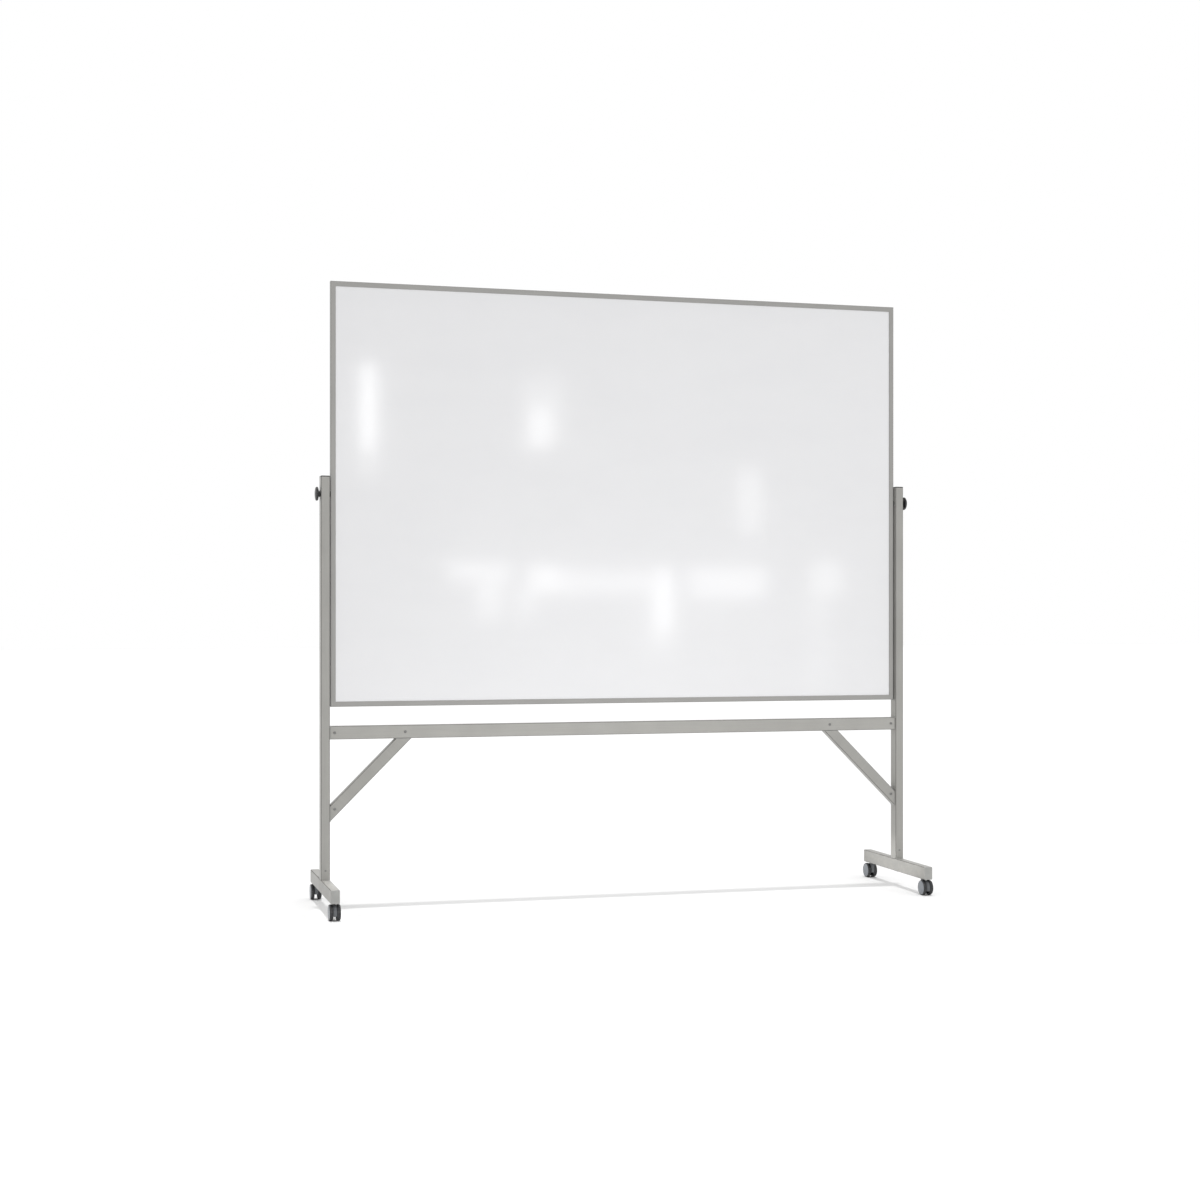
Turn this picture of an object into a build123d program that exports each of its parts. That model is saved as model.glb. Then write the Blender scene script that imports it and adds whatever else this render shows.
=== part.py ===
from build123d import *
from math import asin, cos, sin, sqrt
import os

# A reversible rolling whiteboard. A framed double-sided board turns end over end
# between two posts, held by a clamp knob on each side. The posts, a cross beam and two
# braces make the stand, and each foot has two twin-wheel casters.
# Millimetres. X runs along the board, Y from front (-) to back (+), Z up from the floor.
# The origin is on the floor, midway between the posts.

# ---- Board ----
BOARD_WIDTH = 1748.0
BOARD_HEIGHT = 1219.2
BOARD_THICKNESS = 18.0
PIVOT_HEIGHT = 1189.8  # the board turns about its own middle
FRAME_FACE = 14.5  # width of the frame as seen from the front
FRAME_WALL = 1.4
FRAME_LIP = 1.6  # thickness of the lips that hold the panel
FRAME_ROUND = 1.5  # the rail's outer edges
LIP_ROUND = 0.6
CAVITY_EXTRA = 0.4  # how much deeper the rail's cavity is than the slot for the panel
PANEL_INSET = 7.0  # from the frame's outer edge to the slot's floor
PANEL_PLAY = 0.2
SKIN = 0.5  # enamelled steel sheet

# ---- Corner keys and pivot blocks, inside the rails ----
RAIL_PLAY = 0.1  # between a rail's outer wall and the piece behind it
KEY_LEG = 60.0
INNER_PLATE = 4.0  # thickness of the keys and of the pivot plates
INNER_HALF_DEPTH = 7.5  # half their size from front to back
PIVOT_PLATE_HALF = 40.0  # half the pivot plate's height
BOSS_R = 6.0
BOSS_LENGTH = 14.5  # how far a pivot block reaches in past the slot's floor
BOSS_PLAY = 0.2

# ---- Pivot and knob ----
STUD_R = 4.0
STUD_START = 1.0  # from the boss's inner end to the stud's
STUD_REACH = 11.0  # how far the stud stands out of the post
STUD_CHAMFER = 0.8
RUNNING = 0.05  # radial play of whatever turns on a pin
SEAT_GAP = 0.2  # between flat faces that turn against each other
SPACER_R = 8.7
BUSH_R = 6.0
BUSH_FLANGE = 1.5
KNOB_R = 20.0
KNOB_NECK_R = 9.0
KNOB_BACK = 6.8  # from the post to the back of the grip
KNOB_FACE = 15.6  # from the post to the middle of the grip's face
KNOB_FLUTES = 10
FLUTE_R = 6.0
FLUTE_DEPTH = 1.2
NECK_ROUND = 1.5
GRIP_LEAN = 0.6  # how far the grip's back leans towards the post at its edge
GRIP_ROUND = 3.0
FACE_ROUND = 2.6
FACE_RISE = 2.2  # height of the domed face
INSERT_R = 7.0
INSERT_LENGTH = 9.0
STUD_ROOM = 0.5  # round the stud's end, inside the knob

# ---- Stand ----
POST_GAP = 3.0  # between the board's edge and the post
TUBE_WIDTH = 25.4
TUBE_DEPTH = 38.1
TUBE_WALL = 1.5
TUBE_CORNER = 2.5
CROSS_DEPTH = 28.5  # beam and braces, front to back
BRACE_FACE = 31.75
POST_TOP = 1238.2
POST_CAP = 3.0
POST_CAP_ROUND = 1.6
POST_CAP_PLUG = 14.0
FOOT_BOTTOM = 48.1
FOOT_LENGTH = 451.5
FOOT_CAP = 2.5
FOOT_CAP_PLUG = 12.0
BEAM_HEIGHT = 506.2  # the beam's centre line
BRACE_LOW = 273.8  # where a brace's centre line meets the post, at 45 degrees
PLUG_FLANGE = 2.5  # plate of a plug that shows at the tube's end
UPPER_FLANGE = 1.5  # plate between a brace and the beam
PLUG_PLAY = 0.25  # between a plug and the tube round it
PLATE_ROUND = 0.6  # rounding of a plate's edge, as a share of its thickness
BEAM_PLUG = 32.0
LOWER_PLUG = 42.0
UPPER_PLUG = 35.0
TONGUE_INWARD = 9.0  # the tongue of the upper plug, from its screw towards the middle
TONGUE_OUTWARD = 13.0
TONGUE_HALF_DEPTH = 11.0
TONGUE_RISE = 12.0  # above the beam's centre line

# ---- Screws and bolts ----
SCREW_PLAY = 0.2  # radial room where a screw or bolt passes through a tube's wall
LOCK_INSET = 14.0  # lock screws of the beam and brace ends, in from the post
UPPER_LOCK_X = 659.0  # lock screws over the braces' upper ends
LOCK_SHANK_R = 2.0
LOCK_HEAD_R = 4.0
LOCK_HEAD = 1.8
LOCK_LENGTH = 11.0
PLUG_BOLT_R = 3.0
PLUG_BOLT_LENGTH = 14.0
BOLT_HEAD_R = 5.0
BOLT_HEAD = 3.2
SPIGOT_HEIGHT = 50.0
SPIGOT_CHAMFER = 0.8
SPIGOT_BOLT_Y = 8.0
SPIGOT_BOLT_R = 3.0
SPIGOT_BOLT_REACH = 33.0  # above the foot
SPIGOT_LOCK_Z = 113.0
SPIGOT_SCREW_R = 1.6
SPIGOT_SCREW_LENGTH = 6.5
SPIGOT_SCREW_HEAD_R = 2.8
SPIGOT_SCREW_HEAD = 0.9
HOLE_EXTRA = 1.0  # how much deeper a blind hole is than its screw, and how far a cut overruns

# ---- Casters ----
WHEEL_R = 22.5
WHEEL_WIDTH = 10.0
WHEEL_GAP = 11.0  # between the twin wheels
TRAIL = 15.0  # from the swivel axis to the axle
STEM_INSET = 35.5  # from the foot's end to the swivel axis
SOCKET_R = 7.0
SOCKET_HEIGHT = 27.0
STEM_R = 5.0
STEM_PLAY = 3.0  # from the stem's top to the socket's
STEM_CHAMFER = 1.0
STEM_FLANGE_R = 7.5
STEM_FLANGE = 1.4
STEM_PIN_R = 3.15
PIN_BOTTOM = 3.0  # above the axle
AXLE_R = 2.5
AXLE_HALF = 13.0
SWIVEL_GAP = 0.3  # between the hood and the stem's flange, and over the wheels
HOUSING_PLAY = 0.5  # from the hood to each wheel
HOOD_INSET = 1.2  # from the tread in to the hood's edge
HOOD_EDGE = 0.6  # thickness of the hood's raised side panels
HOOD_BORDER = 0.7  # border left round them
HOOD_NECK = 14.0
HOOD_NECK_SHIFT = 1.0
HOOD_LOW_OUTER = (-60.0, 11.0)  # two points on the line of the hood's lower edge
HOOD_LOW_INNER = (30.0, 19.0)
SWIVEL_BOSS_R = 8.5
DISC_DEPTH = 1.4  # how deep the side disc sits in the wheel
DISC_BORDER = 2.2  # from the tread in to the disc's edge
DISC_EDGE = 1.3
DISC_RISE = 0.7  # height of the domed face
DISC_BEVEL = (0.5, 0.6)
DISC_PLAY = 0.1
WEB = 2.6
HUB_R = 5.5
HUB_GAP = 0.2  # from the hub to the hood's side of the wheel
RIM = 4.0
INNER_BEVEL = 1.2
OUTER_BEVEL = (2.6, 1.6)

# ---- What follows from them ----
half_width = BOARD_WIDTH / 2
half_height = BOARD_HEIGHT / 2
panel_half = BOARD_THICKNESS / 2 - FRAME_LIP
slot_floor = half_width - PANEL_INSET
boss_end = slot_floor - BOSS_LENGTH
post_inner = half_width + POST_GAP
post_outer = post_inner + TUBE_WIDTH
post_x = (post_inner + post_outer) / 2
post_front = -TUBE_DEPTH / 2
stud_end = post_outer + STUD_REACH
knob_seat = post_outer + BUSH_FLANGE + SEAT_GAP
insert_end = knob_seat + INSERT_LENGTH
cross_front = -CROSS_DEPTH / 2
foot_top = FOOT_BOTTOM + TUBE_DEPTH
foot_middle = (FOOT_BOTTOM + foot_top) / 2
beam_bottom = BEAM_HEIGHT - TUBE_DEPTH / 2
brace_top = beam_bottom - UPPER_FLANGE
brace_cut = BRACE_FACE * sqrt(2)  # the brace's face where it is cut at 45 degrees
brace_sum = post_inner + BRACE_LOW  # X + Z anywhere on the right brace's centre line
lock_x = post_inner - LOCK_INSET
brace_lock_z = brace_sum - lock_x
stem_y = FOOT_LENGTH / 2 - STEM_INSET
stem_flange_bottom = FOOT_BOTTOM - STEM_FLANGE
housing_top = stem_flange_bottom - SWIVEL_GAP
housing_half = WHEEL_GAP / 2 - HOUSING_PLAY
disc_r = WHEEL_R - DISC_BORDER
disc_seat = WHEEL_GAP / 2 + WHEEL_WIDTH - DISC_DEPTH
caster_spots = {
    "front_left": (-post_x, -stem_y),
    "front_right": (post_x, -stem_y),
    "rear_left": (-post_x, stem_y),
    "rear_right": (post_x, stem_y),
}


# ---- Helpers ----
def rod(radius, start, end, at=(0, 0)):
    """A round bar along X from start to end, centred on (y, z)."""
    plane = Plane(origin=(start, at[0], at[1]), x_dir=(0, 1, 0), z_dir=(1, 0, 0))
    return extrude(plane * Circle(radius), amount=end - start)


def along_y(radius, start, end, at):
    """A round bar along Y from start to end, centred on (x, z)."""
    plane = Plane(origin=(at[0], start, at[1]), x_dir=(1, 0, 0), z_dir=(0, 1, 0))
    return extrude(plane * Circle(radius), amount=end - start)


def upright(radius, start, end, at=(0, 0)):
    """A round bar along Z from start to end, centred on (x, y)."""
    return Pos(at[0], at[1], start) * extrude(Circle(radius), amount=end - start)


def block(x, y, z):
    """A box between the given (low, high) pairs."""
    size = (x[1] - x[0], y[1] - y[0], z[1] - z[0])
    middle = ((x[0] + x[1]) / 2, (y[0] + y[1]) / 2, (z[0] + z[1]) / 2)
    return Pos(*middle) * Box(*size)


def prism(points, half_depth):
    """An outline in the XZ plane, thickened to both sides in Y."""
    outline = Plane.XZ * make_face(Polyline(*points, close=True))
    return extrude(outline, amount=half_depth, both=True)


def tube_section(width, depth):
    outer = RectangleRounded(width, depth, TUBE_CORNER)
    inner = RectangleRounded(width - 2 * TUBE_WALL, depth - 2 * TUBE_WALL, TUBE_CORNER - TUBE_WALL)
    return outer - inner


def plug_section(width, depth):
    """What fits inside a tube of that outside size."""
    less = 2 * (TUBE_WALL + PLUG_PLAY)
    return RectangleRounded(width - less, depth - less, TUBE_CORNER - TUBE_WALL)


def end_plate(width, depth, thickness):
    """A plug's visible plate on the XY plane, its upper edges rounded."""
    plate = extrude(RectangleRounded(width, depth, TUBE_CORNER), amount=thickness)
    return fillet(plate.edges().group_by(Axis.Z)[-1], thickness * PLATE_ROUND)


def dome_head(radius, height):
    """A round screw head on the XY plane, with a hexagon socket."""
    rounding = height * 0.6
    socket_depth = height * 0.6
    socket_r = radius * 0.45
    head = fillet(extrude(Circle(radius), amount=height).edges().group_by(Axis.Z)[-1], rounding)
    socket = extrude(RegularPolygon(socket_r, 6), amount=socket_depth)
    return head - Pos(0, 0, height - socket_depth) * socket


def front_hole(radius, wall_front, at):
    """What a screw's hole at (x, z) takes out of a tube's front wall."""
    return along_y(radius + SCREW_PLAY, wall_front - HOLE_EXTRA, wall_front + 2 * TUBE_WALL, at)


def front_screw(at, wall_front, head_r, head_height, shank_r, length):
    """A screw into a front wall at (x, z), its head standing proud."""
    outward = Plane(origin=(at[0], wall_front, at[1]), x_dir=(1, 0, 0), z_dir=(0, -1, 0))
    head = outward * dome_head(head_r, head_height)
    return head + along_y(shank_r, wall_front, wall_front + length, at)


def dome(edge, radius, tip):
    """The arc of a spherical dome about the X axis, from its edge to its tip."""
    rise = tip - edge
    sphere = (radius**2 + rise**2) / (2 * rise)
    half_angle = asin(radius / sphere) / 2
    middle = (tip - sphere + sphere * cos(half_angle), sphere * sin(half_angle))
    return ThreePointArc((edge, radius), middle, (tip, 0))


def left_copy(piece):
    return mirror(piece, about=Plane.YZ)


def rear_copy(piece):
    return mirror(piece, about=Plane.XZ)


def group(*pieces):
    return Compound([solid for piece in pieces for solid in piece.solids()])


def pair(piece):
    return group(piece, left_copy(piece))


def four(piece):
    return group(piece, left_copy(piece), rear_copy(piece), left_copy(rear_copy(piece)))


# ---- Board: frame ----
def rail(length):
    """A frame rail along X with its outer edge up at Z = 0 and mitred ends."""
    section = Rectangle(BOARD_THICKNESS, FRAME_FACE, align=(Align.CENTER, Align.MAX))
    section = fillet(section.vertices().group_by(Axis.Y)[-1], FRAME_ROUND)
    section = fillet(section.vertices().group_by(Axis.Y)[0], LIP_ROUND)
    slot_depth = 2 * panel_half
    slot = Rectangle(slot_depth, FRAME_FACE - PANEL_INSET, align=(Align.CENTER, Align.MIN))
    section -= Pos(0, -FRAME_FACE) * slot
    cavity_depth = slot_depth + CAVITY_EXTRA
    cavity = Rectangle(cavity_depth, PANEL_INSET - 2 * FRAME_WALL, align=(Align.CENTER, Align.MAX))
    section -= Pos(0, -FRAME_WALL) * cavity
    half = length / 2
    across = Plane(origin=(-half, 0, 0), x_dir=(0, 1, 0), z_dir=(1, 0, 0))
    bar = extrude(across * section, amount=length)
    shorter = half - FRAME_FACE
    mitre = [(-half, 0), (half, 0), (shorter, -FRAME_FACE), (-shorter, -FRAME_FACE)]
    return bar & prism(mitre, BOARD_THICKNESS)


def board_rails():
    top = Pos(0, 0, PIVOT_HEIGHT + half_height) * rail(BOARD_WIDTH)
    bottom = Pos(0, 0, PIVOT_HEIGHT - half_height) * Rot(0, 180, 0) * rail(BOARD_WIDTH)
    right = Pos(half_width, 0, PIVOT_HEIGHT) * Rot(0, 90, 0) * rail(BOARD_HEIGHT)
    at_pivot = (0, PIVOT_HEIGHT)
    inner_wall = slot_floor + FRAME_WALL
    stud_hole_start = half_width - FRAME_WALL - HOLE_EXTRA
    right -= rod(STUD_R + SCREW_PLAY, stud_hole_start, half_width + HOLE_EXTRA, at_pivot)
    right -= rod(BOSS_R + BOSS_PLAY, half_width - FRAME_FACE, inner_wall + BOSS_PLAY, at_pivot)
    return {
        "board_rail_top": top,
        "board_rail_bottom": bottom,
        "board_rail_left": left_copy(right),
        "board_rail_right": right,
    }


def corner_keys():
    """Flat angles inside the rails, one across each mitre."""
    x = half_width - FRAME_WALL - RAIL_PLAY
    z = half_height - FRAME_WALL - RAIL_PLAY
    outline = [
        (x, z),
        (x - KEY_LEG, z),
        (x - KEY_LEG, z - INNER_PLATE),
        (x - INNER_PLATE, z - INNER_PLATE),
        (x - INNER_PLATE, z - KEY_LEG),
        (x, z - KEY_LEG),
    ]
    key = prism(outline, INNER_HALF_DEPTH)
    keys = [key, left_copy(key)]
    keys += [mirror(piece, about=Plane.XY) for piece in keys]
    return Pos(0, 0, PIVOT_HEIGHT) * group(*keys)


# ---- Board: panel and pivots ----
def panel_layer(near, far):
    """A layer of the panel between two distances from its middle plane."""
    x = slot_floor - PANEL_PLAY
    z = half_height - PANEL_INSET - PANEL_PLAY
    return block((-x, x), (near, far), (PIVOT_HEIGHT - z, PIVOT_HEIGHT + z))


def board_core():
    """The core, notched at each side for the pivot block's boss."""
    core = panel_layer(SKIN - panel_half, panel_half - SKIN)
    reach = BOSS_R + HOLE_EXTRA
    notch = block(
        (boss_end - HOLE_EXTRA, half_width),
        (-panel_half, panel_half),
        (PIVOT_HEIGHT - reach, PIVOT_HEIGHT + reach),
    )
    return core - notch - left_copy(notch)


def pivot_blocks():
    """A steel plate in each side rail with a threaded boss that takes the stud."""
    outer = half_width - FRAME_WALL - RAIL_PLAY
    inner = outer - INNER_PLATE
    plate = block(
        (inner, outer),
        (-INNER_HALF_DEPTH, INNER_HALF_DEPTH),
        (PIVOT_HEIGHT - PIVOT_PLATE_HALF, PIVOT_HEIGHT + PIVOT_PLATE_HALF),
    )
    plate += rod(BOSS_R, boss_end, inner, (0, PIVOT_HEIGHT))
    return pair(plate - rod(STUD_R, boss_end - HOLE_EXTRA, outer + HOLE_EXTRA, (0, PIVOT_HEIGHT)))


def pivot_studs():
    stud = rod(STUD_R, boss_end + STUD_START, stud_end, (0, PIVOT_HEIGHT))
    return pair(chamfer(stud.edges().group_by(Axis.X)[-1], STUD_CHAMFER))


def pivot_spacers():
    """The dark washer in the gap, on the post's side, with a little play to the rail."""
    washer = rod(SPACER_R, half_width + SEAT_GAP, post_inner, (0, PIVOT_HEIGHT))
    bore = rod(STUD_R + RUNNING, half_width, post_inner + HOLE_EXTRA, (0, PIVOT_HEIGHT))
    return pair(washer - bore)


def pivot_bushes():
    """Flanged bushes through the posts, which carry the studs."""
    flange_end = post_outer + BUSH_FLANGE
    bush = rod(BUSH_R, post_inner, post_outer, (0, PIVOT_HEIGHT))
    bush += rod(KNOB_NECK_R, post_outer, flange_end, (0, PIVOT_HEIGHT))
    bore = rod(STUD_R + RUNNING, post_inner - HOLE_EXTRA, flange_end + HOLE_EXTRA, (0, PIVOT_HEIGHT))
    return pair(bush - bore)


# ---- Clamp knobs ----
def knob_right():
    """A round grip with a domed face and shallow flutes on a narrower neck."""
    back = post_outer + KNOB_BACK
    face = post_outer + KNOB_FACE
    neck_end = (back - NECK_ROUND, KNOB_NECK_R)
    back_start = (back, KNOB_NECK_R + NECK_ROUND)
    back_edge = (back - GRIP_LEAN, KNOB_R - GRIP_ROUND)
    rim = (back + GRIP_ROUND, KNOB_R)
    face_edge = (face - FACE_RISE, KNOB_R - FACE_ROUND)
    profile = [
        Line((knob_seat, 0), (knob_seat, KNOB_NECK_R)),
        Line((knob_seat, KNOB_NECK_R), neck_end),
        RadiusArc(neck_end, back_start, NECK_ROUND),
        Line(back_start, back_edge),
        ThreePointArc(back_edge, rim, face_edge),
        dome(face_edge[0], face_edge[1], face),
        Line((face, 0), (knob_seat, 0)),
    ]
    knob = revolve(make_face(Wire(profile)), axis=Axis.X, revolution_arc=360)
    flute_centre = (0, KNOB_R + FLUTE_R - FLUTE_DEPTH)
    flute = rod(FLUTE_R, back - GRIP_ROUND, face + HOLE_EXTRA, flute_centre)
    for i in range(KNOB_FLUTES):
        knob -= Rot(360 / KNOB_FLUTES * i, 0, 0) * flute
    knob -= rod(INSERT_R, knob_seat, insert_end)
    knob -= rod(STUD_R + STUD_ROOM, insert_end, stud_end + HOLE_EXTRA)
    return Pos(0, 0, PIVOT_HEIGHT) * knob


def knob_insert_right():
    """The brass nut moulded into the knob, on the stud."""
    nut = rod(INSERT_R, knob_seat, insert_end, (0, PIVOT_HEIGHT))
    start = knob_seat - HOLE_EXTRA
    return nut - rod(STUD_R + RUNNING, start, insert_end + HOLE_EXTRA, (0, PIVOT_HEIGHT))


# ---- Stand: posts ----
def post_right():
    section = Pos(post_x, 0, foot_top) * tube_section(TUBE_WIDTH, TUBE_DEPTH)
    post = extrude(section, amount=POST_TOP - foot_top)
    start = post_inner - HOLE_EXTRA
    post -= rod(BUSH_R, start, post_outer + HOLE_EXTRA, (0, PIVOT_HEIGHT))
    for height in (BEAM_HEIGHT, BRACE_LOW):
        post -= rod(PLUG_BOLT_R + SCREW_PLAY, start, post_inner + 2 * TUBE_WALL, (0, height))
    return post - front_hole(SPIGOT_SCREW_R, post_front, (post_x, SPIGOT_LOCK_Z))


def post_caps():
    top = Pos(post_x, 0, POST_TOP)
    plate = extrude(top * RectangleRounded(TUBE_WIDTH, TUBE_DEPTH, TUBE_CORNER), amount=POST_CAP)
    plate = fillet(plate.edges().group_by(Axis.Z)[-1], POST_CAP_ROUND)
    return pair(plate + extrude(top * plug_section(TUBE_WIDTH, TUBE_DEPTH), amount=-POST_CAP_PLUG))


# ---- Stand: beam and braces ----
def beam():
    end = post_inner - PLUG_FLANGE
    across = Plane(origin=(-end, 0, BEAM_HEIGHT), x_dir=(0, 1, 0), z_dir=(1, 0, 0))
    tube = extrude(across * tube_section(CROSS_DEPTH, TUBE_DEPTH), amount=2 * end)
    slot = tongue_box(PLUG_PLAY)
    for x in (lock_x, UPPER_LOCK_X):
        hole = front_hole(LOCK_SHANK_R, cross_front, (x, BEAM_HEIGHT))
        tube -= hole + left_copy(hole)
    return tube - slot - left_copy(slot)


def tongue_box(margin):
    """The upright tongue that joins a brace to the beam, through the beam's lower wall."""
    half_depth = TONGUE_HALF_DEPTH + margin
    return block(
        (UPPER_LOCK_X - TONGUE_INWARD - margin, UPPER_LOCK_X + TONGUE_OUTWARD + margin),
        (-half_depth, half_depth),
        (brace_top, BEAM_HEIGHT + TONGUE_RISE + margin),
    )


def brace_bar(section):
    """A bar along the right brace's centre line, cut off at the post and at the beam."""
    upward = Plane(origin=(post_inner, 0, BRACE_LOW), x_dir=(0, 1, 0), z_dir=(-1, 0, 1))
    overrun = BRACE_FACE
    length = (brace_top - BRACE_LOW) * sqrt(2) + overrun
    bar = extrude(upward * section, amount=length) + extrude(upward * section, amount=-overrun)
    return bar & block((0, post_inner - PLUG_FLANGE), (-CROSS_DEPTH, CROSS_DEPTH), (0, brace_top))


def brace_right():
    brace = brace_bar(tube_section(CROSS_DEPTH, BRACE_FACE))
    return brace - front_hole(LOCK_SHANK_R, cross_front, (lock_x, brace_lock_z))


towards_post = Plane(origin=(post_inner - PLUG_FLANGE, 0, 0), x_dir=(0, 1, 0), z_dir=(1, 0, 0))


def bolt_hole(height):
    """The hole for a plug's bolt, in from the post."""
    return rod(PLUG_BOLT_R, post_inner - PLUG_BOLT_LENGTH, post_inner + HOLE_EXTRA, (0, height))


def lock_hole(x, z):
    """The hole for a lock screw in a plug."""
    return along_y(LOCK_SHANK_R, cross_front, 0, (x, z))


def beam_end_plugs():
    raised = Pos(0, 0, BEAM_HEIGHT)
    plug = raised * (towards_post * end_plate(CROSS_DEPTH, TUBE_DEPTH, PLUG_FLANGE))
    inside = raised * (towards_post * plug_section(CROSS_DEPTH, TUBE_DEPTH))
    plug += extrude(inside, amount=-BEAM_PLUG)
    return pair(plug - lock_hole(lock_x, BEAM_HEIGHT) - bolt_hole(BEAM_HEIGHT))


def brace_lower_plugs():
    plug = Pos(0, 0, BRACE_LOW) * (towards_post * end_plate(CROSS_DEPTH, brace_cut, PLUG_FLANGE))
    near_post = (post_inner - LOWER_PLUG, post_inner)
    inside = brace_bar(plug_section(CROSS_DEPTH, BRACE_FACE))
    plug += inside & block(near_post, (-CROSS_DEPTH, CROSS_DEPTH), (0, brace_top))
    return pair(plug - lock_hole(lock_x, brace_lock_z) - bolt_hole(BRACE_LOW))


def brace_upper_plugs():
    """A plate under the beam, a block down inside the brace and a tongue up into the beam."""
    centre = brace_sum - beam_bottom
    plate = extrude(RectangleRounded(brace_cut, CROSS_DEPTH, TUBE_CORNER), amount=UPPER_FLANGE)
    plug = Pos(centre, 0, brace_top) * plate
    near_beam = (brace_top - UPPER_PLUG, brace_top)
    inside = brace_bar(plug_section(CROSS_DEPTH, BRACE_FACE))
    plug += inside & block((0, post_inner), (-CROSS_DEPTH, CROSS_DEPTH), near_beam)
    plug += tongue_box(0)
    return pair(plug - lock_hole(UPPER_LOCK_X, BEAM_HEIGHT))


def lock_screws():
    spots = [(lock_x, BEAM_HEIGHT), (UPPER_LOCK_X, BEAM_HEIGHT), (lock_x, brace_lock_z)]
    screws = []
    for spot in spots:
        screw = front_screw(spot, cross_front, LOCK_HEAD_R, LOCK_HEAD, LOCK_SHANK_R, LOCK_LENGTH)
        screws.append(pair(screw))
    return group(*screws)


def plug_bolts():
    """Bolts from inside the post through its inner wall into the beam's and braces' plugs."""
    wall = post_inner + TUBE_WALL
    inward = Plane(origin=(wall, 0, 0), x_dir=(0, 1, 0), z_dir=(1, 0, 0))
    bolt = inward * dome_head(BOLT_HEAD_R, BOLT_HEAD) + rod(PLUG_BOLT_R, wall - PLUG_BOLT_LENGTH, wall)
    return group(*[pair(Pos(0, 0, height) * bolt) for height in (BEAM_HEIGHT, BRACE_LOW)])


# ---- Stand: feet ----
def foot_right():
    length = FOOT_LENGTH - 2 * FOOT_CAP
    along = Plane(origin=(post_x, -length / 2, foot_middle), x_dir=(1, 0, 0), z_dir=(0, 1, 0))
    foot = extrude(along * tube_section(TUBE_WIDTH, TUBE_DEPTH), amount=length)
    start = FOOT_BOTTOM - HOLE_EXTRA
    bolt_r = SPIGOT_BOLT_R + SCREW_PLAY
    for side in (-1, 1):
        foot -= upright(SOCKET_R, start, FOOT_BOTTOM + 2 * TUBE_WALL, (post_x, side * stem_y))
        foot -= upright(bolt_r, start, foot_top + HOLE_EXTRA, (post_x, side * SPIGOT_BOLT_Y))
    return foot


def foot_caps():
    tube_end = (post_x, FOOT_CAP - FOOT_LENGTH / 2, foot_middle)
    outward = Plane(origin=tube_end, x_dir=(1, 0, 0), z_dir=(0, -1, 0))
    cap = outward * end_plate(TUBE_WIDTH, TUBE_DEPTH, FOOT_CAP)
    cap += extrude(outward * plug_section(TUBE_WIDTH, TUBE_DEPTH), amount=-FOOT_CAP_PLUG)
    return four(cap)


def foot_spigots():
    """The block on each foot that the post slides over."""
    section = Pos(post_x, 0, foot_top) * plug_section(TUBE_WIDTH, TUBE_DEPTH)
    spigot = extrude(section, amount=SPIGOT_HEIGHT)
    spigot = chamfer(spigot.edges().group_by(Axis.Z)[-1], SPIGOT_CHAMFER)
    start = foot_top - HOLE_EXTRA
    end = foot_top + SPIGOT_BOLT_REACH + HOLE_EXTRA
    for side in (-1, 1):
        spigot -= upright(SPIGOT_BOLT_R, start, end, (post_x, side * SPIGOT_BOLT_Y))
    screw_end = post_front + SPIGOT_SCREW_LENGTH + HOLE_EXTRA / 2
    return pair(spigot - along_y(SPIGOT_SCREW_R, post_front, screw_end, (post_x, SPIGOT_LOCK_Z)))


def spigot_lock_screws():
    screw = front_screw(
        (post_x, SPIGOT_LOCK_Z),
        post_front,
        SPIGOT_SCREW_HEAD_R,
        SPIGOT_SCREW_HEAD,
        SPIGOT_SCREW_R,
        SPIGOT_SCREW_LENGTH,
    )
    return pair(screw)


def spigot_bolts():
    """Bolts from under each foot up into the spigot."""
    downward = Plane(origin=(0, 0, FOOT_BOTTOM), x_dir=(1, 0, 0), z_dir=(0, 0, -1))
    bolt = downward * dome_head(BOLT_HEAD_R, BOLT_HEAD)
    bolt += upright(SPIGOT_BOLT_R, FOOT_BOTTOM, foot_top + SPIGOT_BOLT_REACH)
    return group(*[pair(Pos(post_x, side * SPIGOT_BOLT_Y, 0) * bolt) for side in (-1, 1)])


def caster_sockets():
    """Steel sleeves in the feet that grip the caster stems."""
    top = FOOT_BOTTOM + SOCKET_HEIGHT
    sleeve = upright(SOCKET_R, FOOT_BOTTOM, top)
    sleeve -= upright(STEM_R, FOOT_BOTTOM - HOLE_EXTRA, top + HOLE_EXTRA)
    return four(Pos(post_x, -stem_y, 0) * sleeve)


def caster_stems():
    """Each stem fills its socket, has a flange under the foot and a pin down into the hood."""
    stem = upright(STEM_R, stem_flange_bottom, FOOT_BOTTOM + SOCKET_HEIGHT - STEM_PLAY)
    stem = chamfer(stem.edges().group_by(Axis.Z)[-1], STEM_CHAMFER)
    stem += upright(STEM_FLANGE_R, stem_flange_bottom, FOOT_BOTTOM)
    stem += upright(STEM_PIN_R, WHEEL_R + PIN_BOTTOM, stem_flange_bottom)
    return four(Pos(post_x, -stem_y, 0) * stem)


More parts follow.
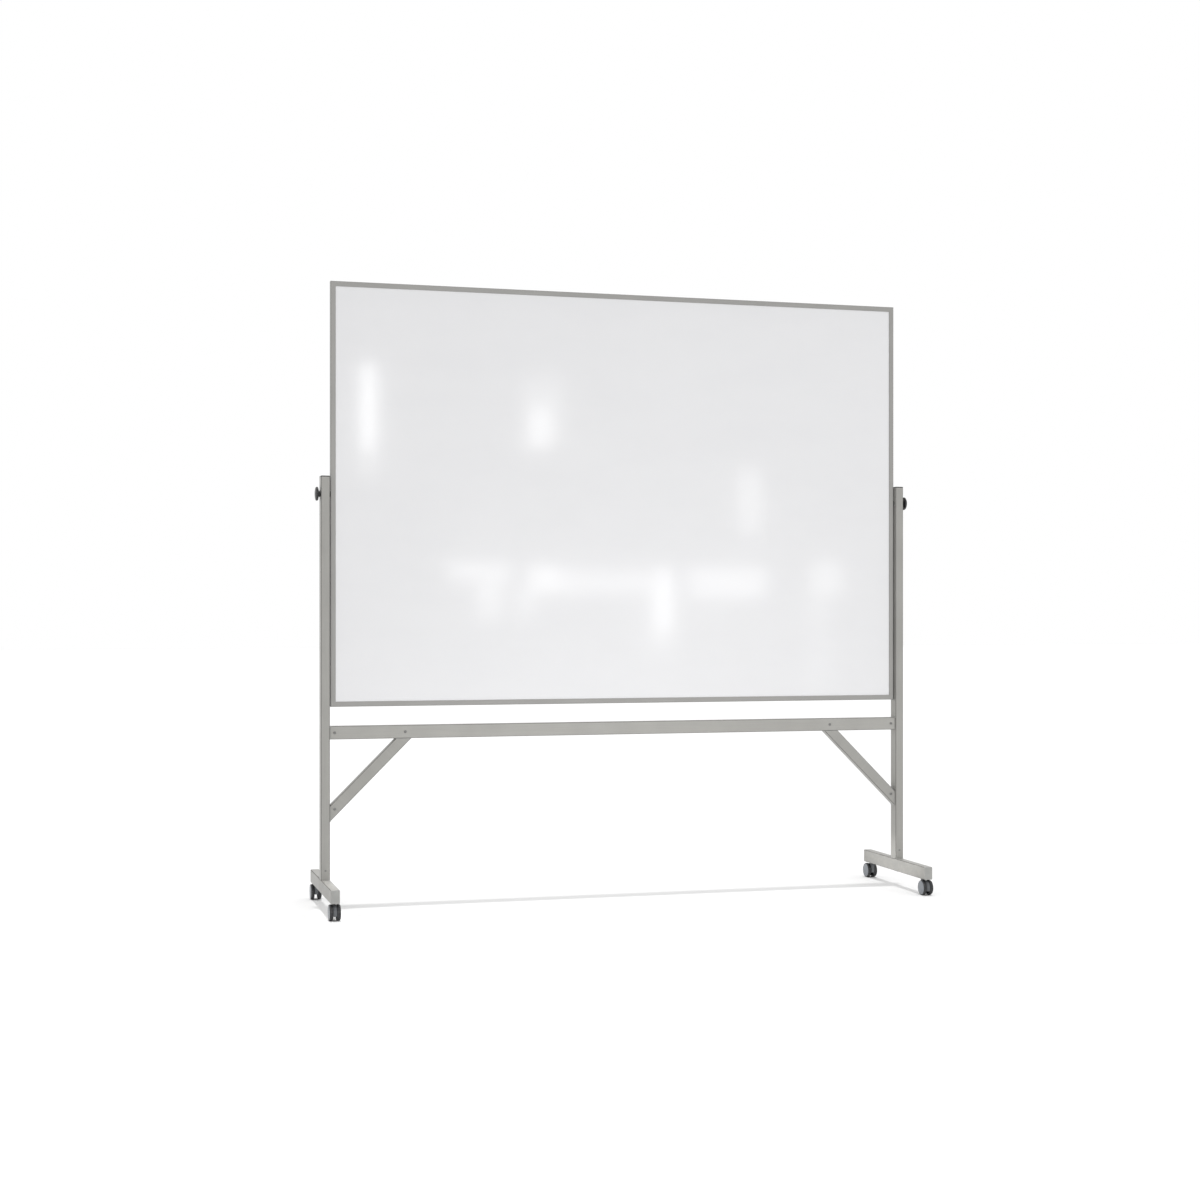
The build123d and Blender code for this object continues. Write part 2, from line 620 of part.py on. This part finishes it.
# ---- Casters, each trailing outward along Y ----
def caster_housing():
    """The hood between the wheels, about its swivel axis, with the axle at Y = -TRAIL."""
    hood = Pos(-TRAIL, WHEEL_R) * Circle(WHEEL_R - HOOD_INSET)
    neck_height = housing_top - WHEEL_R + HOOD_NECK / 2
    neck = Rectangle(HOOD_NECK, neck_height, align=(Align.CENTER, Align.MAX))
    under = -WHEEL_R
    below = Polyline(
        HOOD_LOW_OUTER,
        HOOD_LOW_INNER,
        (HOOD_LOW_INNER[0], under),
        (HOOD_LOW_OUTER[0], under),
        close=True,
    )
    outline = hood + Pos(HOOD_NECK_SHIFT, housing_top) * neck - make_face(below)
    side = Plane(origin=(0, 0, 0), x_dir=(0, 1, 0), z_dir=(1, 0, 0))
    housing = extrude(side * outline, amount=housing_half - HOOD_EDGE, both=True)
    housing += extrude(side * offset(outline, -HOOD_BORDER), amount=housing_half, both=True)
    housing += upright(SWIVEL_BOSS_R, 2 * WHEEL_R + SWIVEL_GAP, housing_top)
    pin_hole_bottom = WHEEL_R + PIN_BOTTOM - HOLE_EXTRA
    housing -= upright(STEM_PIN_R + RUNNING, pin_hole_bottom, housing_top + HOLE_EXTRA)
    return housing - rod(AXLE_R, -WHEEL_GAP, WHEEL_GAP, (-TRAIL, WHEEL_R))


def caster_axle():
    return rod(AXLE_R, -AXLE_HALF, AXLE_HALF, (-TRAIL, WHEEL_R))


def caster_wheel():
    """The right-hand wheel of a pair: a tread rim, a web and a hub, open to the inside."""
    near = WHEEL_GAP / 2
    far = near + WHEEL_WIDTH
    hub = near + HUB_GAP
    web = disc_seat - WEB
    bore = AXLE_R + RUNNING
    rim_r = WHEEL_R - RIM
    seat_r = disc_r + DISC_PLAY
    outline = [
        (hub, bore),
        (hub, HUB_R),
        (web, HUB_R),
        (web, rim_r),
        (near, rim_r),
        (near, WHEEL_R - INNER_BEVEL),
        (near + INNER_BEVEL, WHEEL_R),
        (far - OUTER_BEVEL[0], WHEEL_R),
        (far, WHEEL_R - OUTER_BEVEL[1]),
        (far, seat_r),
        (disc_seat, seat_r),
        (disc_seat, bore),
    ]
    wheel = revolve(make_face(Polyline(*outline, close=True)), axis=Axis.X, revolution_arc=360)
    return Pos(0, -TRAIL, WHEEL_R) * wheel


def caster_disc():
    """The side disc in the wheel's outer face, slightly domed."""
    edge = disc_seat + DISC_EDGE
    tip = edge + DISC_RISE
    bevel_start = (edge - DISC_BEVEL[0], disc_r)
    bevel_end = (edge, disc_r - DISC_BEVEL[1])
    profile = [
        Line((disc_seat, 0), (disc_seat, disc_r)),
        Line((disc_seat, disc_r), bevel_start),
        Line(bevel_start, bevel_end),
        dome(bevel_end[0], bevel_end[1], tip),
        Line((tip, 0), (disc_seat, 0)),
    ]
    disc = revolve(make_face(Wire(profile)), axis=Axis.X, revolution_arc=360)
    return Pos(0, -TRAIL, WHEEL_R) * disc


def casters():
    """Each caster's pieces; the rear ones are the front ones turned to trail backward."""
    housing = caster_housing()
    axle = caster_axle()
    wheel = caster_wheel()
    disc = caster_disc()
    pieces = {}
    for spot, (x, y) in caster_spots.items():
        name = f"caster_{spot}"
        local = {
            f"{name}_housing": housing,
            f"{name}_axle": axle,
            f"{name}_wheel_right": wheel,
            f"{name}_wheel_left": left_copy(wheel),
            f"{name}_disc_right": disc,
            f"{name}_disc_left": left_copy(disc),
        }
        for node, piece in local.items():
            placed = piece if y < 0 else rear_copy(piece)
            pieces[node] = Pos(x, y, 0) * placed
    return pieces


# ---- All sub-parts ----
def all_parts():
    right_knob = knob_right()
    right_insert = knob_insert_right()
    right_post = post_right()
    right_brace = brace_right()
    right_foot = foot_right()
    parts = {
        "board_skin_front": panel_layer(-panel_half, SKIN - panel_half),
        "board_skin_back": panel_layer(panel_half - SKIN, panel_half),
        "board_core": board_core(),
        "board_corner_keys": corner_keys(),
        "pivot_blocks": pivot_blocks(),
        "pivot_studs": pivot_studs(),
        "pivot_spacers": pivot_spacers(),
        "pivot_bushes": pivot_bushes(),
        "knob_left": left_copy(right_knob),
        "knob_right": right_knob,
        "knob_insert_left": left_copy(right_insert),
        "knob_insert_right": right_insert,
        "post_left": left_copy(right_post),
        "post_right": right_post,
        "post_caps": post_caps(),
        "beam": beam(),
        "brace_left": left_copy(right_brace),
        "brace_right": right_brace,
        "beam_end_plugs": beam_end_plugs(),
        "brace_lower_plugs": brace_lower_plugs(),
        "brace_upper_plugs": brace_upper_plugs(),
        "lock_screws": lock_screws(),
        "plug_bolts": plug_bolts(),
        "foot_left": left_copy(right_foot),
        "foot_right": right_foot,
        "foot_caps": foot_caps(),
        "foot_spigots": foot_spigots(),
        "spigot_lock_screws": spigot_lock_screws(),
        "spigot_bolts": spigot_bolts(),
        "caster_sockets": caster_sockets(),
        "caster_stems": caster_stems(),
    }
    parts |= board_rails()
    parts |= casters()
    return parts


if __name__ == "__main__":
    os.makedirs("parts", exist_ok=True)
    for node, piece in all_parts().items():
        export_step(piece, f"parts/{node}.step")
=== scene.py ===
import math

import bpy
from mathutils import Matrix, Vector


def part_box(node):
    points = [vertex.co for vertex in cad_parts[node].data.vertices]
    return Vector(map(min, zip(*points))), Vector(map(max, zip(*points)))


MM = 0.001
FLAT = 0.985  # how a surface's squared normal measures where a tube's rounding sets in
ROUNDED = 0.86  # and where it is well into the rounding

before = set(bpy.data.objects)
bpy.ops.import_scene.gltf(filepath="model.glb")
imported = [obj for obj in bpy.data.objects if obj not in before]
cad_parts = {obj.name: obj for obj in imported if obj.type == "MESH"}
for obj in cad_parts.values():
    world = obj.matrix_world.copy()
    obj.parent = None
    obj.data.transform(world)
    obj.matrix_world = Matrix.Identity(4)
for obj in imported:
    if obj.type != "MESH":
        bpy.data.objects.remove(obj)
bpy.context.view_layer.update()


# ---- Putting a material together ----
class Surface:
    """A procedural material round one Principled shader. Patterns are laid out in the part's own
    coordinates, so they stay on the piece as it moves; their sizes are given in millimetres."""

    def __init__(self, name, **sockets):
        self.material = bpy.data.materials.new(name)
        self.material.use_nodes = True
        self.tree = self.material.node_tree
        self.shader = self.tree.nodes["Principled BSDF"]
        self.height = None
        for socket, value in sockets.items():
            self.shader.inputs[socket.replace("_", " ")].default_value = value

    def node(self, kind, **settings):
        made = self.tree.nodes.new(kind)
        for name, value in settings.items():
            setattr(made, name, value)
        return made

    def link(self, source, target):
        self.tree.links.new(source, target)

    def turned(self, vector, degrees):
        made = self.node("ShaderNodeMapping")
        made.inputs["Rotation"].default_value = (0, math.radians(degrees), 0)
        self.link(vector, made.inputs["Vector"])
        return made.outputs["Vector"]

    def place(self, size, turn=0.0):
        """Object coordinates measured in pattern sizes along X, Y and Z, turned about Y first."""
        vector = self.node("ShaderNodeTexCoord").outputs["Object"]
        if turn:
            vector = self.turned(vector, turn)
        scaled = self.node("ShaderNodeMapping")
        scaled.inputs["Scale"].default_value = [1 / (MM * s) for s in size]
        self.link(vector, scaled.inputs["Vector"])
        return scaled.outputs["Vector"]

    def noise(self, size, turn=0.0, detail=2.0, rough=0.5):
        made = self.node("ShaderNodeTexNoise")
        made.inputs["Scale"].default_value = 1.0
        made.inputs["Detail"].default_value = detail
        made.inputs["Roughness"].default_value = rough
        self.link(self.place(size, turn), made.inputs["Vector"])
        return made.outputs["Fac"]

    def cells(self, size, feature="F1", turn=0.0):
        made = self.node("ShaderNodeTexVoronoi", feature=feature)
        made.inputs["Scale"].default_value = 1.0
        self.link(self.place(size, turn), made.inputs["Vector"])
        return made.outputs["Distance"]

    def remap(self, source, low, high, to_low=0.0, to_high=1.0):
        made = self.node("ShaderNodeMapRange", interpolation_type="SMOOTHSTEP")
        self.link(source, made.inputs["Value"])
        ends = {"From Min": low, "From Max": high, "To Min": to_low, "To Max": to_high}
        for name, value in ends.items():
            made.inputs[name].default_value = value
        return made.outputs["Result"]

    def product(self, first, second):
        """Two masks multiplied, so that the result shows only where both do."""
        made = self.node("ShaderNodeMath", operation="MULTIPLY")
        self.link(first, made.inputs[0])
        self.link(second, made.inputs[1])
        return made.outputs["Value"]

    def edges(self, turn=0.0):
        """1 on the rounded edges of a tube and 0 on its flat sides, from the way the surface
        faces: the squares of a unit normal's parts have length 1 only along an axis."""
        normal = self.node("ShaderNodeTexCoord").outputs["Normal"]
        if turn:
            normal = self.turned(normal, turn)
        power = self.node("ShaderNodeVectorMath", operation="MULTIPLY")
        self.link(normal, power.inputs[0])
        self.link(normal, power.inputs[1])
        flat = self.node("ShaderNodeVectorMath", operation="LENGTH")
        self.link(power.outputs["Vector"], flat.inputs[0])
        return self.remap(flat.outputs["Value"], FLAT, ROUNDED)

    def height_above_floor(self):
        """Z of the rest position, in metres."""
        split = self.node("ShaderNodeSeparateXYZ")
        self.link(self.node("ShaderNodeTexCoord").outputs["Object"], split.inputs["Vector"])
        return split.outputs["Z"]

    def mix(self, mask, first, second):
        """A colour between two; each is a colour or another mix."""
        made = self.node("ShaderNodeMix", data_type="RGBA")
        self.link(mask, made.inputs["Factor"])
        for name, value in (("A", first), ("B", second)):
            socket = [s for s in made.inputs if s.name == name and s.type == "RGBA"][0]
            if isinstance(value, tuple):
                socket.default_value = (*value, 1.0)
            else:
                self.link(value, socket)
        return [s for s in made.outputs if s.type == "RGBA"][0]

    def colour(self, source):
        self.link(source, self.shader.inputs["Base Color"])

    def roughness(self, source):
        self.link(source, self.shader.inputs["Roughness"])

    def fade(self, mask, socket, flat, edge):
        """A shader value that goes from one figure on the flats to another where the mask is 1."""
        self.link(self.remap(mask, 0.0, 1.0, flat, edge), self.shader.inputs[socket])

    def bump(self, source, depth, share=1.0):
        """Adds relief of that depth in millimetres on top of what is already there."""
        made = self.node("ShaderNodeBump")
        made.inputs["Distance"].default_value = depth * MM
        made.inputs["Strength"].default_value = share
        self.link(source, made.inputs["Height"])
        if self.height is not None:
            self.link(self.height, made.inputs["Normal"])
        self.height = made.outputs["Normal"]
        self.link(self.height, self.shader.inputs["Normal"])


def shade(colour, factor):
    return tuple(channel * factor for channel in colour)


def dress(material, *names):
    for name in names:
        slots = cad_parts[name].data.materials
        slots.clear()
        slots.append(material)


# ---- Metals of the stand and the board's frame ----
STAND_GREY = (0.322, 0.317, 0.300)
FRAME_GREY = (0.318, 0.314, 0.302)
BEAM_LIGHT_TONE = 1.09  # painted light: the cross beam is painted a little lighter than the other tubes, for the brighter light it catches
EDGE_SHADE_TONE = 0.55  # painted shade: the rounded edges are painted darker than the flats, for the darker light they catch there, and are matt
SHEEN = 0.12  # specular level of the flats; the edges have none
DUST = (0.42, 0.40, 0.37)
DUST_SHARE = 0.35
DUST_BOTTOM = 0.04  # heights in metres between which the dust thins out
DUST_TOP = 0.16
GRAIN_WIDTH = 0.7
GRAIN_LENGTH = 120.0
# The grain's size along X, Y and Z, and how far the piece is turned about Y.
along = {
    "X": ((GRAIN_LENGTH, GRAIN_WIDTH, GRAIN_WIDTH), 0.0),
    "Y": ((GRAIN_WIDTH, GRAIN_LENGTH, GRAIN_WIDTH), 0.0),
    "Z": ((GRAIN_WIDTH, GRAIN_WIDTH, GRAIN_LENGTH), 0.0),
    "rising": ((GRAIN_LENGTH, GRAIN_WIDTH, GRAIN_WIDTH), 45.0),
    "falling": ((GRAIN_LENGTH, GRAIN_WIDTH, GRAIN_WIDTH), -45.0),
}


def stand_metal(direction, tone=1.0):
    """Silver-grey satin coat on steel tube: drawn lines along the tube, a fine grain of the coat
    and slow changes of tone, with a little dust low down."""
    size, turn = along[direction]
    grey = shade(STAND_GREY, tone)
    metal = Surface(f"stand_metal_{direction}", IOR=1.5)
    lines = metal.noise(size, turn, detail=3.0)
    clouds = metal.noise((90, 90, 140), detail=3.0)
    grain = metal.noise((0.8, 0.8, 0.8), detail=1.0)
    base = metal.mix(metal.remap(lines, 0.3, 0.7), shade(grey, 0.95), shade(grey, 1.05))
    toned = metal.mix(metal.remap(clouds, 0.35, 0.75, 0, 0.5), base, shade(grey, 0.9))
    low = metal.remap(metal.height_above_floor(), DUST_BOTTOM, DUST_TOP, DUST_SHARE, 0.0)
    dusty = metal.product(low, metal.remap(metal.noise((14, 14, 14), detail=4.0), 0.45, 0.7))
    edges = metal.edges(turn)
    # painted shade: the rounded edges of the tube are painted darker, for the darker light they
    # catch; below they also lose metallic and specular
    edge_shaded = metal.mix(edges, toned, shade(grey, EDGE_SHADE_TONE))
    metal.colour(metal.mix(dusty, edge_shaded, DUST))
    metal.roughness(metal.remap(clouds, 0.3, 0.7, 0.34, 0.44))
    metal.fade(edges, "Metallic", 0.22, 0.0)
    metal.fade(edges, "Specular IOR Level", SHEEN, 0.0)
    metal.bump(lines, 0.004)
    metal.bump(grain, 0.012, 0.6)
    return metal.material


def frame_metal(direction):
    """Anodised aluminium with fine lines left by the extrusion die."""
    size, turn = along[direction]
    metal = Surface(f"frame_aluminium_{direction}", IOR=1.5)
    lines = metal.noise(size, turn, detail=4.0)
    clouds = metal.noise((160, 160, 160), detail=2.0)
    base = metal.mix(metal.remap(lines, 0.3, 0.7), shade(FRAME_GREY, 0.94), shade(FRAME_GREY, 1.06))
    toned = metal.mix(metal.remap(clouds, 0.35, 0.7, 0, 0.4), base, shade(FRAME_GREY, 0.9))
    edges = metal.edges(turn)
    # painted shade: the rounded edges of the rail are painted darker, for the darker light they
    # catch
    metal.colour(metal.mix(edges, toned, shade(FRAME_GREY, EDGE_SHADE_TONE)))
    metal.roughness(metal.remap(lines, 0.3, 0.7, 0.30, 0.38))
    metal.fade(edges, "Metallic", 0.5, 0.0)
    metal.fade(edges, "Specular IOR Level", SHEEN, 0.0)
    metal.bump(lines, 0.006)
    return metal.material


dress(stand_metal("Z"), "post_left", "post_right")
# painted light: the beam gets a lighter copy of the stand coat
dress(stand_metal("X", BEAM_LIGHT_TONE), "beam")
dress(stand_metal("Y"), "foot_left", "foot_right")
dress(stand_metal("rising"), "brace_right")
dress(stand_metal("falling"), "brace_left")
dress(frame_metal("X"), "board_rail_top", "board_rail_bottom")
dress(frame_metal("Z"), "board_rail_left", "board_rail_right")


# ---- Writing surface ----
ENAMEL_WHITE = (0.665, 0.665, 0.675)
WIPED = (0.655, 0.655, 0.666)
PAPER_DARK = (0.36, 0.25, 0.14)
PAPER_LIGHT = (0.50, 0.38, 0.24)
# painted shade in the open middles of the honeycomb cells
CELL_HOLLOW_SHADE = (0.16, 0.11, 0.06)


def writing_enamel():
    """Glossy enamel fired on steel: a very slight waviness, faint wiping haze and a fine speckle."""
    enamel = Surface(
        "writing_enamel", IOR=1.52, Coat_Weight=1.0, Coat_Roughness=0.07, Coat_IOR=1.5
    )
    haze = enamel.noise((260, 200, 110), detail=4.0, rough=0.6)
    wave = enamel.noise((45, 45, 45), detail=1.0)
    specks = enamel.noise((1.6, 1.6, 1.6), detail=2.0)
    enamel.colour(enamel.mix(enamel.remap(haze, 0.35, 0.75), ENAMEL_WHITE, WIPED))
    enamel.roughness(enamel.remap(haze, 0.3, 0.75, 0.34, 0.42))
    enamel.bump(wave, 0.006)
    enamel.bump(specks, 0.001)
    return enamel.material


def panel_core():
    """Paper honeycomb, hidden between the two sheets."""
    paper = Surface("panel_core")
    walls = paper.cells((9, 9, 9), feature="DISTANCE_TO_EDGE")
    fibres = paper.noise((0.6, 0.6, 6.0), detail=3.0)
    base = paper.mix(fibres, PAPER_DARK, PAPER_LIGHT)
    # painted shade: the middles of the cells, away from the paper walls, are painted dark for the
    # depth of the open cells
    paper.colour(paper.mix(paper.remap(walls, 0.04, 0.12), base, CELL_HOLLOW_SHADE))
    paper.roughness(paper.remap(fibres, 0.3, 0.7, 0.8, 0.95))
    paper.bump(walls, 0.8)
    return paper.material


dress(writing_enamel(), "board_skin_front", "board_skin_back")
dress(panel_core(), "board_core")


# ---- Plastics ----
def moulded(name, colour, gloss, texture=0.5, depth=0.02, spread=0.12):
    """Moulded plastic: a spark-eroded texture, its size and depth in millimetres, and slow
    changes of tone and sheen."""
    plastic = Surface(name, IOR=1.48)
    fine = plastic.noise((texture, texture, texture), detail=3.0)
    clouds = plastic.noise((18, 18, 18), detail=3.0)
    darker = shade(colour, 1 - spread)
    lighter = shade(colour, 1 + spread)
    plastic.colour(plastic.mix(plastic.remap(clouds, 0.3, 0.7), darker, lighter))
    plastic.roughness(plastic.remap(fine, 0.3, 0.7, gloss - 0.06, gloss + 0.06))
    plastic.bump(fine, depth)
    return plastic.material


GREY_PLASTIC = (0.300, 0.300, 0.288)
NYLON_BLACK = (0.013, 0.013, 0.014)
KNOB_BLACK = (0.009, 0.009, 0.010)
HOOD_GREY = (0.085, 0.090, 0.096)
TREAD_BLACK = (0.014, 0.015, 0.017)
DISC_GREY = (0.190, 0.205, 0.225)
FLOOR_DUST = (0.22, 0.21, 0.19)

dress(
    moulded("grey_plastic", GREY_PLASTIC, 0.45, spread=0.05),
    "foot_caps",
    "beam_end_plugs",
    "brace_lower_plugs",
    "brace_upper_plugs",
    "foot_spigots",
)
dress(
    moulded("black_nylon", NYLON_BLACK, 0.48),
    "post_caps",
    "pivot_spacers",
    "pivot_bushes",
)
dress(moulded("knob_plastic", KNOB_BLACK, 0.33, depth=0.012), "knob_left", "knob_right")


def caster_tread():
    """Hard rubber, dusty and scuffed where it meets the floor."""
    tread = Surface("caster_tread", IOR=1.5)
    fine = tread.noise((0.4, 0.4, 0.4), detail=3.0)
    grime = tread.noise((6.0, 6.0, 6.0), detail=5.0, rough=0.6)
    mask = tread.remap(grime, 0.45, 0.85, 0.0, 0.30)
    tread.colour(tread.mix(mask, TREAD_BLACK, FLOOR_DUST))
    tread.roughness(tread.remap(grime, 0.3, 0.7, 0.42, 0.62))
    tread.bump(fine, 0.02)
    return tread.material


casters = [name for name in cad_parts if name.startswith("caster_")]
dress(moulded("caster_hood", HOOD_GREY, 0.42), *[n for n in casters if n.endswith("_housing")])
dress(moulded("caster_disc", DISC_GREY, 0.36, spread=0.08), *[n for n in casters if "_disc_" in n])
dress(caster_tread(), *[n for n in casters if "_wheel_" in n])


# ---- Steel and brass fittings ----
def turned_metal(name, colour, gloss, metallic=1.0):
    """Plated or turned metal with fine machining lines and a little tarnish."""
    metal = Surface(name, Metallic=metallic)
    lines = metal.noise((0.25, 3.0, 0.25), detail=3.0)
    stain = metal.noise((5, 5, 5), detail=3.0)
    base = metal.mix(metal.remap(lines, 0.3, 0.7), shade(colour, 0.9), shade(colour, 1.08))
    metal.colour(metal.mix(metal.remap(stain, 0.5, 0.8, 0, 0.6), base, shade(colour, 0.6)))
    metal.roughness(metal.remap(stain, 0.3, 0.7, gloss - 0.05, gloss + 0.08))
    metal.bump(lines, 0.01)
    return metal.material


ZINC = (0.50, 0.51, 0.52)
SCREW = (0.23, 0.23, 0.225)
BRASS = (0.62, 0.45, 0.19)

dress(
    turned_metal("zinc_steel", ZINC, 0.32),
    "board_corner_keys",
    "pivot_blocks",
    "pivot_studs",
    "plug_bolts",
    "spigot_bolts",
    "caster_sockets",
    "caster_stems",
    *[n for n in casters if n.endswith("_axle")],
)
dress(turned_metal("screw_steel", SCREW, 0.38), "lock_screws", "spigot_lock_screws")
dress(turned_metal("brass_insert", BRASS, 0.30), "knob_insert_left", "knob_insert_right")


# ---- Floor ----
FLOOR_SIZE = 80.0
FLOOR_WHITE = (0.800, 0.800, 0.800)
FLOOR_CLOUD = (0.815, 0.815, 0.815)


def studio_floor():
    """A pale matt floor reaching to the horizon."""
    bpy.ops.mesh.primitive_plane_add(size=FLOOR_SIZE)
    floor = bpy.context.object
    floor.name = "studio_floor"
    paint = Surface("studio_floor", Specular_IOR_Level=0.1)
    clouds = paint.noise((400, 400, 400), detail=2.0)
    paint.colour(paint.mix(clouds, FLOOR_WHITE, FLOOR_CLOUD))
    paint.roughness(paint.remap(clouds, 0.3, 0.7, 0.8, 0.9))
    floor.data.materials.append(paint.material)


studio_floor()


# ---- Camera ----
CAMERA = Vector((-1.6008, -5.4505, 0.8460))
HEADING = -15.677  # degrees about Z: the camera looks to the right of straight ahead
SENSOR = 36.0  # millimetres, as the focal length
FOCAL_LENGTH = 57.01
RISE = 0.01166  # the lens is level, and shifted up by this share of the picture
FAR = 200.0  # metres


def camera():
    lens = bpy.data.cameras.new("camera")
    lens.sensor_width = SENSOR
    lens.lens = FOCAL_LENGTH
    lens.shift_y = RISE
    lens.clip_end = FAR
    holder = bpy.data.objects.new("camera", lens)
    holder.location = CAMERA
    holder.rotation_euler = (math.radians(90), 0, math.radians(HEADING))
    bpy.context.scene.collection.objects.link(holder)
    bpy.context.scene.camera = holder


camera()


# ---- Light ----
SKY = 1.0
SUN = 1.15
SUN_SPREAD = 1.2  # degrees
SUN_LEAN = 2.0  # degrees, so that its light falls a little towards the back
WALL_Y = -9.0  # the wall that the board mirrors
front_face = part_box("board_skin_front")[0].y


def sky():
    world = bpy.data.worlds.new("studio_sky")
    bpy.context.scene.world = world
    world.use_nodes = True
    background = world.node_tree.nodes["Background"]
    background.inputs["Color"].default_value = (1.0, 1.0, 1.0, 1.0)
    background.inputs["Strength"].default_value = SKY


def lamp(name, kind, place, turn, power):
    """A lamp that lights and reflects but isn't itself in the picture: its place in metres, its
    turn in degrees and its power in watts, or a sun's strength."""
    data = bpy.data.lights.new(name, kind)
    data.energy = power
    holder = bpy.data.objects.new(name, data)
    holder.location = place
    holder.rotation_euler = [math.radians(angle) for angle in turn]
    holder.visible_camera = False
    bpy.context.scene.collection.objects.link(holder)
    return holder


def overhead_sun():
    """A soft lamp straight above, for the faint shadow of the beam and feet on the floor."""
    sun = lamp("overhead", "SUN", (0, 0, 5), (SUN_LEAN, 0, 0), SUN)
    sun.data.angle = math.radians(SUN_SPREAD)


def bright_panel(name, place, turn, power, size, mirrored=True):
    """A rectangular lamp, its width and height in metres. Glossy surfaces mirror it or don't."""
    panel = lamp(name, "AREA", place, turn, power)
    panel.visible_glossy = mirrored
    panel.data.shape = "RECTANGLE"
    panel.data.size, panel.data.size_y = size


def narrow_spot(name, place, turn, power, spread, blend, source, squeeze):
    """A spot with an oval beam: spread in degrees, the lamp's own radius in metres, and squeeze,
    which narrows the beam sideways and upwards."""
    spot = lamp(name, "SPOT", place, turn, power)
    spot.scale = (*squeeze, 1.0)
    spot.data.spot_size = math.radians(spread)
    spot.data.spot_blend = blend
    spot.data.shadow_soft_size = source


def window(name, x, z, width, height, radiance):
    """A bright panel on the wall behind the camera. It is placed and sized so that its soft
    reflection lies at (x, z) on the board's front, as wide and high as given, in metres."""
    eye = Vector((CAMERA.x, 2 * front_face - CAMERA.y, CAMERA.z))
    reach = (WALL_Y - eye.y) / (front_face - eye.y)
    centre = eye + (Vector((x, front_face, z)) - eye) * reach
    power = radiance * math.pi * width * height * reach**2
    bright_panel(name, centre, (90, 0, 0), power, (width * reach, height * reach))


sky()
overhead_sun()

# Four lamps bring single places to their tone. This one, low in front, lifts the board's
# lower middle.
bright_panel("low_glow", (0.0, -1.3, 0.12), (105, 0, 0), 3.6, (0.9, 0.2), mirrored=False)

# From the front right, for the right post's top.
bright_panel("right_front", (2.7, -2.6, 1.7), (85, 0, 38), 4.5, (1.0, 1.0), mirrored=False)

# A flat beam along the floor, on the right foot's inner side and the post above it.
narrow_spot(
    "inner_fill",
    (0.05, 0.0, 0.13),
    (87, 0, -90),
    power=15.0,
    spread=36,
    blend=0.6,
    source=0.03,
    squeeze=(1.0, 0.28),
)

# A narrow beam from above, on the left foot's front end.
narrow_spot(
    "left_top",
    (-0.87, -0.13, 0.50),
    (0, 2, 0),
    power=5.5,
    spread=34,
    blend=0.7,
    source=0.03,
    squeeze=(0.35, 1.0),
)

# What the board mirrors, from its upper left to its lower right.
window("tall_left", x=-0.765, z=1.44, width=0.04, height=0.25, radiance=10.0)
window("tall_left_foot", x=-0.765, z=1.28, width=0.05, height=0.09, radiance=2.0)
window("upper_middle", x=-0.255, z=1.40, width=0.055, height=0.11, radiance=6.6)
window("upper_middle_low", x=-0.275, z=1.36, width=0.06, height=0.06, radiance=3.0)
window("upper_middle_edge", x=-0.25, z=1.45, width=0.12, height=0.20, radiance=1.6)
window("upper_right", x=0.40, z=1.19, width=0.07, height=0.20, radiance=3.1)
window("band_far_left", x=-0.44, z=0.97, width=0.19, height=0.05, radiance=4.0)
window("band_far_left_post", x=-0.41, z=0.90, width=0.07, height=0.14, radiance=3.0)
window("band_left", x=-0.24, z=0.95, width=0.10, height=0.08, radiance=4.9)
window("band_left_post", x=-0.30, z=0.87, width=0.03, height=0.10, radiance=3.6)
window("band_middle", x=-0.04, z=0.94, width=0.29, height=0.065, radiance=3.2)
window("middle_post", x=0.125, z=0.89, width=0.055, height=0.19, radiance=6.1)
window("middle_post_foot", x=0.115, z=0.77, width=0.07, height=0.08, radiance=1.6)
window("band_right", x=0.33, z=0.94, width=0.25, height=0.09, radiance=3.7)
window("far_right", x=0.65, z=0.955, width=0.10, height=0.10, radiance=3.4)
window("far_right_post", x=0.625, z=0.76, width=0.07, height=0.28, radiance=1.1)

bpy.context.scene.view_settings.view_transform = "Standard"
bpy.context.scene.view_settings.look = "None"
